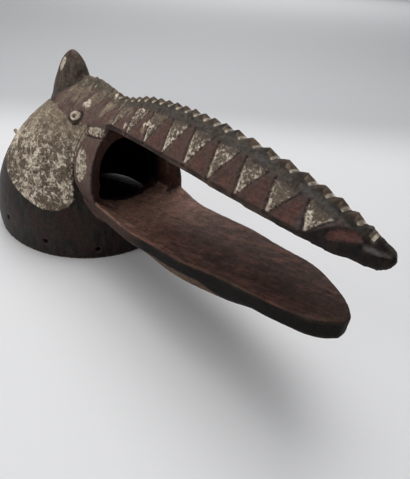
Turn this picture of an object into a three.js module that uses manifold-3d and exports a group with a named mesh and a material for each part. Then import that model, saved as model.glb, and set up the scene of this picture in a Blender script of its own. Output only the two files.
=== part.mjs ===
// Helmet mask with an open beak, carved hollow from one block of light wood.
// Millimetres, +Z up. The rim stands on z = 0 and the beak reaches toward -Y.
import * as THREE from 'three';
import { mergeVertices } from 'three/addons/utils/BufferGeometryUtils.js';
import Module from 'manifold-3d';

const wasm = await Module();
wasm.setup();

// The helmet: an upright hollow egg, cut off flat at the rim
const helmetHalfWidth = 115;
const helmetHalfLength = 130;
const helmetHeight = 190;
const helmetWall = 12;
const crownThickness = 16;
const crownLead = 40; // how far the crown leans toward the beak
const crownBend = 1.5; // the lean grows with height to this power
const sideRise = 2.3; // exponent of the side: higher stands straighter
const sideRound = 1.14; // exponent of the crown: higher is blunter

// Lengths along the beak, measured forward from the middle of the rim
const browStart = 24;
const mouthFront = 139;
const lowerBeakRoot = 116;
const lowerBeakTip = 413;
const upperBeakRoot = 104;
const upperBeakTip = 425;
const mouthSkew = 0.2; // the mouth is cut askew: the +X cheek reaches further

// The muzzle, whose cheeks frame the mouth
const cheekHalfWidth = 52;
const cheekHeight = 100;
const cheekSpread = 13; // the cheeks widen by this much toward the back
const cheekSwell = 6; // how far the cheek bulges above its widest line
const cheekWall = 7.5;
const jawHalfWidth = 42;
const jawHeight = 56;
const jawSpread = 22; // the jaw widens and rises by this much toward the back
const jawSwell = 14;
const throatStart = 70;
const throatRoof = 157;

// The upper beak
const lipThickness = 3.5;
const noseDepth = 12.5; // the lip's depth close to the nose
const noseRound = 15; // length over which the nose rounds off
const noseBlunt = 0.92; // how much of the section is gone at the very end
const crestShare = 0.6; // the crest takes no more than this of a narrow nose
const roofBulge = 1.5; // the roof's flanks bulge out by this much

// The crest of teeth along the ridge
const crestStart = 42.7;
const crestEnd = 419;
const toothPitch = 12.2;
const toothSwell = 6.1; // teeth grow by this much toward the front of the beak
const swellAt = 318;
const swellSpread = 41;
const toothDepth = 5.8; // of the notches between the teeth
const browToothDepth = 2.2;
const browEnd = 114; // the teeth behind this are the low ones of the brow
const toothBack = 0.64; // share of a tooth's length that faces back
const notchSkew = 0.25; // the notches are cut askew across the ridge
const crestHeight = 9.5;
const crestHalfWidth = 7.8;

// The lower beak, a flat paddle that rises toward its tip
const paddleHeight = 51.4; // top face, over the middle of the rim
const paddleSlope = 0.153;
const paddleDish = 1; // the top face is this much lower along the middle
const paddleSide = 12; // height of its upright edge
const paddleBevel = 6; // width of the bevel under that edge
const edgeWear = 1.3; // its edges are worn off by this much
const rootLift = 14; // the edges curl up this much where they meet the cheeks
const rootLiftEnd = 205;
const rootFlare = 5; // and the +X edge stands out this much further there
const tipDrift = -8; // the paddle's tip bends this far to one side

// The horn on the crown
const hornForward = -6;
const hornBaseHeight = 150;
const hornHeight = 64;
const hornHalfLength = 39;
const hornHalfWidth = 23;
const hornLean = 14; // the tip leans this far forward
const hornRise = 1.5; // exponents of its outline, as for the helmet
const hornRound = 1.6;

// The eyes, short round pegs left standing, with a hollow in the end
const eyeRadius = 6.8;
const eyeHollowRadius = 2.6;
const eyeHollowDepth = 3;
const eyeForward = 77.5;
const eyeSide = 37.8;
const eyeHeight = 161.6;
const eyeProud = 3.2;

// A small worn nub that stands out at the back of the -X side
const nubRadius = 2.5;
const nubProud = 4.5;
const nubForward = -36.5;
const nubSide = -67;
const nubHeight = 115.5;

// The tie holes round the rim
const holeCount = 12;
const holeRadius = 3;
const holeHeight = 32;
const holeDrop = 20; // the holes toward the front sit this much lower
const firstHoleAngle = 6;

// The middle of the whole length is the origin
const originForward = (upperBeakTip - helmetHalfLength) / 2;

const wood = new THREE.MeshStandardMaterial({
  color: 0x4a3830,
  roughness: 0.78,
  metalness: 0,
});

// Turn a forward distance into a place in the part's own frame
function place(x, forward, z) {
  return new THREE.Vector3(x, originForward - forward, z);
}

// A smooth curve through a few pairs, held level past its ends
function through(pairs) {
  const slopeAt = (i) => {
    const before = pairs[Math.max(i - 1, 0)];
    const after = pairs[Math.min(i + 1, pairs.length - 1)];
    return (after[1] - before[1]) / (after[0] - before[0]);
  };
  return (at) => {
    const first = pairs[0];
    const last = pairs[pairs.length - 1];
    if (at <= first[0]) return first[1];
    if (at >= last[0]) return last[1];
    const i = pairs.findIndex((pair) => pair[0] > at) - 1;
    const span = pairs[i + 1][0] - pairs[i][0];
    const t = (at - pairs[i][0]) / span;
    const bend = t * t * (3 - 2 * t);
    const leave = span * slopeAt(i) * t * (1 - t) * (1 - t);
    const arrive = span * slopeAt(i + 1) * t * t * (1 - t);
    return pairs[i][1] * (1 - bend) + pairs[i + 1][1] * bend + leave - arrive;
  };
}

// Make a closed solid of a geometry, with its faces pointing out
function solid(geometry) {
  geometry.deleteAttribute('normal');
  geometry.deleteAttribute('uv');
  const merged = mergeVertices(geometry, 1e-3);
  const at = merged.getAttribute('position');
  const corners = merged.getIndex().array;
  const a = new THREE.Vector3();
  const b = new THREE.Vector3();
  const c = new THREE.Vector3();
  const faces = [];
  let volume = 0;
  for (let i = 0; i < corners.length; i += 3) {
    const face = [corners[i], corners[i + 1], corners[i + 2]];
    if (new Set(face).size < 3) continue;
    a.fromBufferAttribute(at, face[0]);
    b.fromBufferAttribute(at, face[1]);
    c.fromBufferAttribute(at, face[2]);
    volume += a.dot(b.cross(c));
    faces.push(face);
  }
  if (volume < 0) faces.forEach((face) => face.reverse());
  const triVerts = new Uint32Array(faces.flat());
  const vertProperties = new Float32Array(at.array);
  return new wasm.Manifold(new wasm.Mesh({ numProp: 3, vertProperties, triVerts }));
}

// Carry a solid back into a drawable geometry
function geometryOf(body) {
  const mesh = body.getMesh();
  const geometry = new THREE.BufferGeometry();
  geometry.setAttribute('position', new THREE.BufferAttribute(mesh.vertProperties, 3));
  geometry.setIndex(new THREE.BufferAttribute(mesh.triVerts, 1));
  geometry.computeVertexNormals();
  return geometry;
}

// Move every vertex of a geometry by a function of its own place
function reshape(geometry, move) {
  const at = geometry.getAttribute('position');
  const point = new THREE.Vector3();
  for (let i = 0; i < at.count; i += 1) {
    point.copy(move(point.fromBufferAttribute(at, i)));
    at.setXYZ(i, point.x, point.y, point.z);
  }
  return geometry;
}

// A beam along the beak. half(forward) lists one side of its section, from the
// top middle round to the bottom middle, as [x, z] pairs. shift(x, forward, z)
// moves a point forward and sideways. crowd above 1 draws rows toward the tip.
function beam({ start, end, rows, half, shift = () => [0, 0], crowd = 1 }) {
  const sideCount = half(start).length - 1;
  const ring = 2 * sideCount;
  const drum = new THREE.CylinderGeometry(1, 1, 1, ring, rows);
  return solid(reshape(drum, (point) => {
    const forward = end - (end - start) * (0.5 - point.y) ** crowd;
    const section = half(forward);
    const turn = Math.round((Math.atan2(point.x, point.z) / (2 * Math.PI)) * ring);
    const step = (turn + ring) % ring;
    const mirrored = step > sideCount;
    let [x, z] = section[mirrored ? ring - step : step];
    if (mirrored) x = -x;
    if (Math.hypot(point.x, point.z) < 0.5) {
      x = 0;
      z = (section[0][1] + section[sideCount][1]) / 2;
    }
    const [lead, drift] = shift(x, forward, z);
    return place(x + drift, forward + lead, z);
  }));
}

// Radius of the helmet at a height, as a share of the radius at the rim
function domeShare(share) {
  const up = Math.min(Math.max(share, 0), 1);
  return (1 - up ** sideRise) ** (1 / sideRound);
}

// The helmet's egg, drawn in by a wall thickness, with a skirt below the rim
function dome(inset, crownInset, skirt, around, rows) {
  const outline = [new THREE.Vector2(0, -skirt), new THREE.Vector2(1, -skirt)];
  for (let i = 0; i <= rows; i += 1) {
    const share = Math.sin((Math.PI / 2) * (i / rows));
    if (i === 0 && skirt === 0) continue;
    outline.push(new THREE.Vector2(domeShare(share), share));
  }
  const lathe = new THREE.LatheGeometry(outline, around);
  return solid(reshape(lathe, (point) => {
    const lead = crownLead * Math.max(point.y, 0) ** crownBend;
    return place(
      point.x * (helmetHalfWidth - inset),
      lead + point.z * (helmetHalfLength - inset),
      point.y * (helmetHeight - crownInset),
    );
  }));
}

// Height of the ridge line over the brow and the beak, to the teeth's peaks
const ridgeHeight = through([
  [browStart, 190],
  [45, 194],
  [70, 196.5],
  [122, 191],
  [170, 202],
  [230, 207],
  [300, 204],
  [369, 193.5],
  [400, 184.5],
  [416, 178],
  [upperBeakTip, 174.5],
]);

// Half width and height of the roof's lower edge, which is the beak's lip
const lipHalfWidth = through([
  [browStart, 40],
  [70, 40],
  [100, 33],
  [mouthFront, 28],
  [250, 28],
  [340, 25],
  [370, 20],
  [395, 13.5],
  [upperBeakTip, 8.5],
]);
const lipHeight = through([
  [browStart, 150],
  [70, 158],
  [mouthFront, 163.5],
  [250, 165.5],
  [340, 163],
  [370, 160.5],
  [395, 157.5],
  [upperBeakTip, 158],
]);

// One side of the muzzle: roof, cheek and jaw
function muzzleHalf(forward) {
  const back = (mouthFront - forward) / (mouthFront - browStart);
  const ridge = ridgeHeight(forward);
  const lip = new THREE.Vector2(lipHalfWidth(forward), lipHeight(forward));
  const cheek = new THREE.Vector2(cheekHalfWidth + cheekSpread * back, cheekHeight);
  const jaw = new THREE.Vector2(jawHalfWidth + jawSpread * back, jawHeight + jawSpread * back);
  const upper = new THREE.QuadraticBezierCurve(
    lip,
    new THREE.Vector2(cheek.x - 2 * cheekSpread * back, (lip.y + cheek.y) / 2 + cheekSwell),
    cheek,
  );
  const lower = new THREE.QuadraticBezierCurve(
    cheek,
    new THREE.Vector2(cheek.x, jaw.y + jawSwell),
    jaw,
  );
  const bend = [...upper.getPoints(5), ...lower.getPoints(4).slice(1)];
  return [
    [0, ridge],
    [crestHalfWidth, ridge - crestHeight],
    ...bend.map((point) => [point.x, point.y]),
    [0, jaw.y - 2],
  ];
}

// The muzzle's front is cut askew, and flares a little at the +X jaw
function muzzleShift(x, forward, z) {
  const share = (forward - browStart) / (mouthFront - browStart);
  const low = THREE.MathUtils.smoothstep(-z, -cheekHeight - 20, -jawHeight - 20);
  return [mouthSkew * x * share * share, x > 0 ? rootFlare * low * share : 0];
}

// One side of the throat, the opening that leads from the mouth into the helmet
function throatHalf() {
  const floor = paddleHeight + paddleSlope * mouthFront;
  const wide = cheekHalfWidth - cheekWall;
  const arch = new THREE.SplineCurve([
    new THREE.Vector2(0, throatRoof),
    new THREE.Vector2(20, throatRoof - 2),
    new THREE.Vector2(wide - 8, 138),
    new THREE.Vector2(wide, 114),
    new THREE.Vector2(wide - 1, 94),
    new THREE.Vector2(wide - 10, floor + 4),
    new THREE.Vector2(0, floor - 1),
  ]);
  return arch.getPoints(12).map((point) => [Math.max(point.x, 0), point.y]);
}

// The head: helmet, horn and muzzle, hollowed out, with the throat open in front
function head() {
  const muzzle = beam({
    start: browStart,
    end: mouthFront,
    rows: 12,
    half: muzzleHalf,
    shift: muzzleShift,
  });
  const throat = beam({
    start: throatStart,
    end: 2 * mouthFront - throatStart,
    rows: 2,
    half: throatHalf,
  });
  const outside = dome(0, 0, 0, 72, 18);
  const inside = dome(helmetWall, crownThickness, 0.1, 48, 12);
  return outside.add(horn()).add(nub()).add(muzzle).subtract(inside).subtract(throat);
}

// The upper beak: a roof over a thin lip, which deepens toward a blunt nose
function upperBeak() {
  const lipDepth = through([
    [350, lipThickness],
    [375, lipThickness + 1],
    [405, noseDepth],
  ]);
  const half = (forward) => {
    const ridge = ridgeHeight(forward);
    const under = lipHeight(forward);
    const wide = lipHalfWidth(forward);
    const lip = under + lipDepth(forward);
    const crest = Math.min(crestHalfWidth, wide * crestShare);
    const foot = ridge - crestHeight * (crest / crestHalfWidth);
    const section = [
      [0, ridge],
      [crest, foot],
      [THREE.MathUtils.lerp(crest, wide, 0.5), (foot + lip) / 2 + roofBulge],
      [wide, lip],
      [wide - 1, under],
      [wide * 0.5, under + 2],
      [0, under + 3],
    ];
    const past = Math.max(forward - (upperBeakTip - noseRound), 0) / noseRound;
    const shrink = Math.sqrt(1 - noseBlunt * past * past);
    const middle = (ridge + under) / 2;
    return section.map(([x, z]) => [x * shrink, middle + (z - middle) * shrink]);
  };
  return beam({ start: upperBeakRoot, end: upperBeakTip, rows: 40, half, crowd: 1.35 });
}

// Forward place of each notch between two teeth
function notchPlaces() {
  const places = [];
  let forward = crestStart;
  while (forward < crestEnd) {
    places.push(forward);
    const swell = Math.exp(-(((forward - swellAt) / swellSpread) ** 2));
    forward += toothPitch + toothSwell * swell;
  }
  return places;
}

// A V cut across the ridge at one notch, a bar with three sides
function notchCutter(before, notch, after) {
  const depth = notch < browEnd ? browToothDepth : toothDepth;
  const over = 0.6; // the cutter stands clear of the teeth by this share
  const reach = 6; // half the length over which the ridge's fall is taken
  const downSlope = (notch - before) * (1 - toothBack);
  const upSlope = (after - notch) * toothBack;
  const wedge = new THREE.Shape([
    new THREE.Vector2(-downSlope * (1 + over), depth * over),
    new THREE.Vector2(0, -depth),
    new THREE.Vector2(upSlope * (1 + over), depth * over),
  ]);
  const length = 4 * crestHalfWidth;
  const bar = new THREE.ExtrudeGeometry(wedge, { depth: length, bevelEnabled: false });
  bar.translate(0, 0, -length / 2);
  const fall = (ridgeHeight(notch + reach) - ridgeHeight(notch - reach)) / (2 * reach);
  return solid(reshape(bar, (point) => place(
    point.z,
    notch + point.x + notchSkew * point.z,
    ridgeHeight(notch) + fall * point.x + point.y,
  )));
}

function crestCuts() {
  const places = notchPlaces();
  const cutters = [];
  for (let i = 1; i + 1 < places.length; i += 1) {
    cutters.push(notchCutter(places[i - 1], places[i], places[i + 1]));
  }
  return cutters.reduce((all, cutter) => all.add(cutter));
}

// The lower beak: a paddle with a bevelled underside and a rounded, drifting tip
function lowerBeak() {
  const halfWidth = through([
    [lowerBeakRoot, 51],
    [150, 50.5],
    [200, 48],
    [235, 46.3],
    [275, 45],
    [318, 38],
    [358, 33.7],
    [378, 28],
    [394, 21],
    [406, 12],
    [lowerBeakTip, 4],
  ]);
  const thickness = through([
    [lowerBeakRoot, 16],
    [165, 18],
    [235, 21.5],
    [300, 24],
    [340, 22],
    [370, 16],
    [lowerBeakTip, 18],
  ]);
  const half = (forward) => {
    const top = paddleHeight + paddleSlope * forward;
    const under = top - thickness(forward);
    const wide = halfWidth(forward);
    const blunt = THREE.MathUtils.smoothstep(forward, 340, 385);
    const lift = rootLift * (1 - THREE.MathUtils.smoothstep(forward, lowerBeakRoot, rootLiftEnd));
    const edge = top + lift;
    return [
      [0, top - paddleDish],
      [wide * 0.62, top - paddleDish * 0.8 + lift * 0.2],
      [wide - edgeWear, edge],
      [wide, edge - edgeWear],
      [wide, THREE.MathUtils.lerp(edge - paddleSide, under + edgeWear, blunt)],
      [wide - edgeWear - (paddleBevel + lift * 0.5) * (1 - blunt), under],
      [0, under],
    ];
  };
  const drifting = (x, forward) => {
    const root = 1 - THREE.MathUtils.smoothstep(forward, lowerBeakRoot, rootLiftEnd);
    const tip = THREE.MathUtils.smoothstep(forward, 345, lowerBeakTip);
    return [0, tipDrift * tip + (x > 0 ? rootFlare * root : 0)];
  };
  return beam({
    start: lowerBeakRoot,
    end: lowerBeakTip,
    rows: 28,
    half,
    shift: drifting,
    crowd: 1.5,
  });
}

// The horn: a blunt cone of oval section that leans forward
function horn() {
  const outline = [new THREE.Vector2(0, 0)];
  const rows = 10;
  for (let i = 0; i <= rows; i += 1) {
    const share = Math.sin((Math.PI / 2) * (i / rows));
    outline.push(new THREE.Vector2((1 - share ** hornRise) ** (1 / hornRound), share));
  }
  const lathe = new THREE.LatheGeometry(outline, 24);
  return solid(reshape(lathe, (point) => place(
    point.x * hornHalfWidth,
    hornForward + hornLean * point.y + point.z * hornHalfLength,
    hornBaseHeight + hornHeight * point.y,
  )));
}

// A round bar from inside the head out along a direction, for pegs and holes
function bar(centre, direction, radius, inside, outside, sides) {
  const cylinder = new THREE.CylinderGeometry(radius, radius, inside + outside, sides);
  cylinder.translate(0, (outside - inside) / 2, 0);
  const turn = new THREE.Quaternion();
  turn.setFromUnitVectors(new THREE.Vector3(0, 1, 0), direction.clone().normalize());
  cylinder.applyQuaternion(turn);
  cylinder.translate(centre.x, centre.y, centre.z);
  return solid(cylinder);
}

function eye(side) {
  const centre = place(side * eyeSide, eyeForward, eyeHeight);
  const outward = new THREE.Vector3(side * 0.66, -0.42, 0.62);
  const peg = bar(centre, outward, eyeRadius, 14, eyeProud, 20);
  const hollow = bar(centre, outward, eyeHollowRadius, eyeHollowDepth - eyeProud, eyeProud + 1, 12);
  return { peg, hollow };
}

function nub() {
  const centre = place(nubSide, nubForward, nubHeight);
  return bar(centre, new THREE.Vector3(-0.65, 0.41, 0.64), nubRadius, 6, nubProud, 8);
}

function tieHoles() {
  const cutters = [];
  for (let i = 0; i < holeCount; i += 1) {
    const angle = THREE.MathUtils.degToRad(firstHoleAngle + (360 / holeCount) * i);
    const sideways = -Math.cos(angle);
    const ahead = Math.sin(angle);
    const height = holeHeight - holeDrop * Math.max(ahead, 0);
    const centre = place(helmetHalfWidth * sideways, helmetHalfLength * ahead, height);
    const outward = new THREE.Vector3(
      sideways / helmetHalfWidth,
      -ahead / helmetHalfLength,
      0,
    );
    cutters.push(bar(centre, outward, holeRadius, 2.5 * helmetWall, helmetWall, 10));
  }
  return cutters.reduce((all, cutter) => all.add(cutter));
}

function mask() {
  const eyes = [eye(-1), eye(1)];
  let body = head().add(upperBeak()).subtract(crestCuts());
  body = body.add(lowerBeak());
  eyes.forEach(({ peg, hollow }) => {
    body = body.add(peg).subtract(hollow);
  });
  body = body.subtract(tieHoles());
  const mesh = new THREE.Mesh(geometryOf(body), wood);
  mesh.name = 'mask';
  return mesh;
}

const model = new THREE.Group();
model.add(mask());

export default model;
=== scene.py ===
import math

import bmesh
import bpy
import numpy as np
from mathutils import Matrix, Vector


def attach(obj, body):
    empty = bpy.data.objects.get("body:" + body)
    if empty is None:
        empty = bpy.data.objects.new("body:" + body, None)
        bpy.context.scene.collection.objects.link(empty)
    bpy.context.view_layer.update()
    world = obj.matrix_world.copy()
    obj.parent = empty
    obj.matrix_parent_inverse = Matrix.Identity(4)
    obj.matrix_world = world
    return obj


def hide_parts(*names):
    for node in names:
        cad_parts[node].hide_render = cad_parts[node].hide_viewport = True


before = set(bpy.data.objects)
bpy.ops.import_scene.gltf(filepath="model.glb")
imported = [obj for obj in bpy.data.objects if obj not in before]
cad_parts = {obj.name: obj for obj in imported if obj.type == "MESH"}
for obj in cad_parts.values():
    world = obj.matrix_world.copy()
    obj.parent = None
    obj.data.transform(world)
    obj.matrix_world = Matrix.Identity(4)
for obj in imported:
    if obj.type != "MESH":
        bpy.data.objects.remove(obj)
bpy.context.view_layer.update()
print("solid loaded")

scene = bpy.context.scene
scene.view_settings.view_transform = "Standard"


def linear(hexColour):  # an sRGB hex colour as linear RGBA
    parts = [int(hexColour[i:i + 2], 16) / 255 for i in (1, 3, 5)]
    return [p / 12.92 if p <= 0.04045 else ((p + 0.055) / 1.055) ** 2.4 for p in parts] + [1.0]


# links: an input's name or number, to a value or a socket. A colour Mix has its colours at 6 and 7 and its
# output at 2, and a Map Range runs from inputs 1 and 2 to inputs 3 and 4.
def addNode(tree, kind, links=None, out=0, **settings):
    node = tree.nodes.new(kind)
    for name, value in settings.items():
        setattr(node, name, value)
    for key, value in (links or {}).items():
        if isinstance(value, bpy.types.NodeSocket):
            tree.links.new(value, node.inputs[key])
        else:
            node.inputs[key].default_value = value
    return node.outputs[out] if node.outputs else node


# camera, at the photograph's place
shot = {
    "place": (-0.21725, -0.34215, 0.30775),
    "azimuth": -43.0,
    "elevation": 34.66,
    "roll": 4.32,
    "lens": 30.06,
}
turn, lift, roll = (math.radians(shot[k]) for k in ("azimuth", "elevation", "roll"))
back = Vector((math.sin(turn) * math.cos(lift), -math.cos(turn) * math.cos(lift), math.sin(lift)))
level = Vector((math.cos(turn), math.sin(turn), 0))
upright = back.cross(level)
right = math.cos(roll) * level + math.sin(roll) * upright
above = back.cross(right)
camera = bpy.data.objects.new("camera", bpy.data.cameras.new("camera"))
camera.matrix_world = Matrix((
    (right.x, above.x, back.x, shot["place"][0]),
    (right.y, above.y, back.y, shot["place"][1]),
    (right.z, above.z, back.z, shot["place"][2]),
    (0, 0, 0, 1),
))
camera.data.lens = shot["lens"]
scene.collection.objects.link(camera)
scene.camera = camera

# studio: a pale table top, a broad soft light overhead and a little behind, and a pale room
studio = {
    "tableHalf": 12,
    "table": "#e8e8e9",
    "farTableShade": "#c0c1c3",  # painted shade: the table top behind the object, a little greyer, as if less light reached it
    "farFrom": (-0.217, -0.342),  # where the distance to it is counted from, toward the back
    "farBand": (0.72, 1.06),  # metres over which it turns greyer
    "shadowUnderHelmet": "#1c1c1c",  # painted shadow: the table top that only the helmet's hollow sees, painted dark as if in full shade
    "underMiddle": 0.1475,
    "underStretch": (10.5, 9.1),  # one over its half width and half length
    "underEdge": (1.0, 0.94),
    "tableRoughness": 0.6,
    "room": "#dfe0e2",
    "roomStrength": 0.33,
    "lights": [  # place, aim, size in metres, power in watts, spread in degrees
        ((0.40, 0.38, 1.7), (0, 0.0, 0.0), 1.2, 12, 180),
        ((0.2, 0.6, 2.2), (0.2, 0.6, 0), 2.6, 19, 180),
        ((-1.5, 0.2, 0.75), (0, 0.1, 0.1), 0.9, 7.5, 180),
        ((4.1, 4.1, 3.4), (4.1, 4.1, 0), 6.0, 122, 105),
    ],
}
bm = bmesh.new()
bmesh.ops.create_grid(bm, x_segments=1, y_segments=1, size=studio["tableHalf"])
tableMesh = bpy.data.meshes.new("table_top")
bm.to_mesh(tableMesh)
bm.free()
table = bpy.data.objects.new("table_top", tableMesh)
scene.collection.objects.link(table)

# matt paint on a smooth board: a pale tone with no grain and hardly a sheen, with painted shade on it: dark where only
# the helmet's hollow sees it, and greyer behind the object
board = bpy.data.materials.new("matt painted board")
board.use_nodes = True
tree = board.node_tree
tree.nodes.clear()
onTable = addNode(tree, "ShaderNodeTexCoord", out=3)
# painted shade: across this band behind the object the table turns greyer
farX, farY = studio["farFrom"]
bandStart, bandEnd = studio["farBand"]
backward = (-math.sin(turn), math.cos(turn), 0)
farther = addNode(tree, "ShaderNodeVectorMath", {0: onTable, 1: (-farX, -farY, 0)}, operation="ADD")
farther = addNode(tree, "ShaderNodeVectorMath", {0: farther, 1: backward}, 1, operation="DOT_PRODUCT")
farShare = addNode(tree, "ShaderNodeMapRange", {0: farther, 1: bandStart, 2: bandEnd},
                   interpolation_type="SMOOTHSTEP")
# painted shadow: under the helmet's hollow the table is mixed to a dark tone
spot = addNode(tree, "ShaderNodeVectorMath", {0: onTable, 1: (0, -studio["underMiddle"], 0)}, operation="ADD")
spot = addNode(tree, "ShaderNodeVectorMath", {0: spot, 1: (*studio["underStretch"], 1)}, operation="MULTIPLY")
spot = addNode(tree, "ShaderNodeVectorMath", {0: spot}, 1, operation="LENGTH")
shade = addNode(tree, "ShaderNodeMapRange", {0: spot, 1: studio["underEdge"][0], 2: studio["underEdge"][1]})
paleTop = addNode(tree, "ShaderNodeMix", {
    0: farShare, 6: linear(studio["table"]), 7: linear(studio["farTableShade"])}, 2, data_type="RGBA")
paleTop = addNode(tree, "ShaderNodeMix", {
    0: shade, 6: paleTop, 7: linear(studio["shadowUnderHelmet"])}, 2, data_type="RGBA")
surface = addNode(tree, "ShaderNodeBsdfPrincipled", {"Base Color": paleTop, "Roughness": studio["tableRoughness"]})
addNode(tree, "ShaderNodeOutputMaterial", {"Surface": surface})
tableMesh.materials.append(board)

for number, (place, aim, size, power, spread) in enumerate(studio["lights"]):
    lamp = bpy.data.lights.new(f"softbox{number}", "AREA")
    lamp.size = size
    lamp.energy = power
    lamp.spread = math.radians(spread)
    box = bpy.data.objects.new(f"softbox{number}", lamp)
    box.location = place
    box.rotation_euler = (Vector(aim) - Vector(place)).to_track_quat("-Z", "Y").to_euler()
    scene.collection.objects.link(box)
world = bpy.data.worlds.new("room")
scene.world = world
world.use_nodes = True
world.node_tree.nodes["Background"].inputs["Color"].default_value = linear(studio["room"])
world.node_tree.nodes["Background"].inputs["Strength"].default_value = studio["roomStrength"]
print("camera and studio ready")

# the carving's own measures in mm; "ahead" counts from the middle of the rim toward the beak
form = {
    "rimMiddle": 147.5,
    "egg": (115, 130, 190),  # half width, half length, height of the helmet
    "eggRise": 2.3,
    "eggRound": 1.14,
    "crownLead": 40,
    "crownLeadRise": 1.5,
    "crownHeight": 176,  # above it everything is an outer face
    "crestHeight": 9.5,
    "beakStart": 26,
    "beakUnder": 150,  # no part of the upper beak is lower
    "noseUnder": 140,  # what lies lower than this isn't the nose
    "beakMargin": 3,  # how far past its half width a point still belongs to it
    "mouthFront": 139,
    "mouthSkew": 0.2,
    "throat": (108, 58, 163),  # height of its middle, half width, top
    "paddleHeight": 51.4,  # the paddle is the long flat lower beak
    "paddleSlope": 0.153,
    "paddleLift": (116, 205, 14),  # the raised edges by the mouth: from, to, height
    "paddleStart": 112,
    "paddleBetween": (141, 53),  # up to this far ahead it lies between the cheeks, this near to the middle
    "paddleSide": 12,  # height of its upright edge
    "rimGap": (92, -52, 52, 5),  # where the rim stands off the table: side, ahead, half length, height
    "eye": (37.3, 78.6, 163.2),
    "horn": (-6, 150, 64, 39, 23, 14),  # ahead, base, height, half length, half width, lean
    "hornRise": 1.5,
    "hornRound": 1.6,
    "hornFoot": (124, 159),  # between these heights its back runs down into the helmet
    "hornFootFront": -8,  # and only behind this
    "hornHighlight": [(5.2, 203.5), (3, 199.5), (1.2, 196)],  # painted highlight: a pale streak along its front edge, as ahead and height
    "hornHighlightSize": (4.2, 5),  # its half width, and how far it reaches across
    "holes": (12, 6, 32, 20),  # tie holes: how many, first angle, height, drop toward the front
}
ridge = (
    (24, 45, 70, 122, 170, 230, 300, 369, 400, 416, 425),
    (190, 194, 196.5, 191, 202, 207, 204, 193.5, 184.5, 178, 174.5),
)
lipHeight = ((24, 70, 139, 250, 340, 370, 395, 425), (150, 158, 163.5, 165.5, 163, 160.5, 157.5, 158))
lipHalf = ((24, 70, 100, 139, 250, 340, 370, 395, 425), (40, 40, 33, 28, 28, 25, 20, 13.5, 8.5))
noseDepth = ((350, 375, 405), (3.5, 4.5, 12.5))
paddleThick = ((116, 165, 235, 300, 340, 370, 413), (16, 18, 21.5, 24, 22, 16, 18))


def along(pairs, ahead):  # a measure that changes along the beak
    return np.interp(ahead, *pairs)


def ramp(low, high, value):  # 0 before low, 1 past high, smooth between; low may be the greater number
    t = np.clip((value - low) / (high - low), 0, 1)
    return t * t * (3 - 2 * t)


def toLine(a, b, points):  # distance to a line through points
    best = np.full(a.shape, 1e9)
    for (a0, b0), (a1, b1) in zip(points[:-1], points[1:]):
        da, db = a1 - a0, b1 - b0
        t = np.clip(((a - a0) * da + (b - b0) * db) / (da * da + db * db), 0, 1)
        best = np.minimum(best, np.hypot(a - a0 - t * da, b - b0 - t * db))
    return best


def toPatch(a, b, points):  # distance to a closed outline, positive inside
    ring = list(points) + [points[0]]
    inside = np.zeros(a.shape, bool)
    for (a0, b0), (a1, b1) in zip(ring[:-1], ring[1:]):
        crosses = (b0 > b) != (b1 > b)
        inside ^= crosses & (a < (a1 - a0) * (b - b0) / (b1 - b0 + 1e-9) + a0)
    return np.where(inside, 1, -1) * toLine(a, b, ring)


def readMesh(mesh):  # side, ahead and height of every vertex in mm, and its normal
    flat = np.empty(len(mesh.vertices) * 3, np.float32)
    mesh.vertices.foreach_get("co", flat)
    x, y, z = flat.reshape(-1, 3).T.astype(float) * 1000
    mesh.vertices.foreach_get("normal", flat)
    return x, form["rimMiddle"] - y, z, flat.reshape(-1, 3).astype(float)


def bulge(mesh, rounds):  # how far each vertex stands out of its neighbours, in mm, spread a little
    pairs = np.empty(len(mesh.edges) * 2, np.int32)
    mesh.edges.foreach_get("vertices", pairs)
    one, other = pairs.reshape(-1, 2).T
    total = len(mesh.vertices)
    near = np.maximum(np.bincount(one, minlength=total) + np.bincount(other, minlength=total), 1)
    x, ahead, z, lean = readMesh(mesh)
    out = np.zeros(total)
    for values, part in ((x, lean[:, 0]), (-ahead, lean[:, 1]), (z, lean[:, 2])):
        middle = (np.bincount(one, values[other], total) + np.bincount(other, values[one], total)) / near
        out += (values - middle) * part
    for i in range(rounds):
        out = (np.bincount(one, out[other], total) + np.bincount(other, out[one], total)) / near
    return out


def applied(piece, kind, **settings):  # add one modifier and keep its result as the mesh
    modifier = piece.modifiers.new(kind.lower(), kind)
    for name, value in settings.items():
        setattr(modifier, name, value)
    shaped = bpy.data.meshes.new_from_object(piece.evaluated_get(bpy.context.evaluated_depsgraph_get()))
    piece.modifiers.clear()
    old = piece.data
    piece.data = shaped
    bpy.data.meshes.remove(old)
    return shaped


def eggSection(z):  # at a height, the helmet's size as a share of that at the rim, and how far forward it sits
    up = np.clip(z / form["egg"][2], 0, 1)
    share = (1 - up ** form["eggRise"]) ** (1 / form["eggRound"])
    return share, form["crownLead"] * up ** form["crownLeadRise"]


def eggReach(x, ahead, z):  # 1 on the helmet's outer face, about 0.9 on its inner face
    share, lead = eggSection(z)
    return np.hypot(x / form["egg"][0], (ahead - lead) / form["egg"][1]) / np.maximum(share, 0.02)


def eggBack(x, z):  # how far back the helmet's outer face reaches
    share, lead = eggSection(z)
    return lead - form["egg"][1] * np.sqrt(np.maximum(share ** 2 - (x / form["egg"][0]) ** 2, 0))


def flankShare(ahead, z):  # 0 at the upper beak's lip, 1 at the foot of its crest
    lip = along(lipHeight, ahead) + along(noseDepth, ahead)
    foot = along(ridge, ahead) - form["crestHeight"]
    return (z - lip) / np.maximum(foot - lip, 4)


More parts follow.
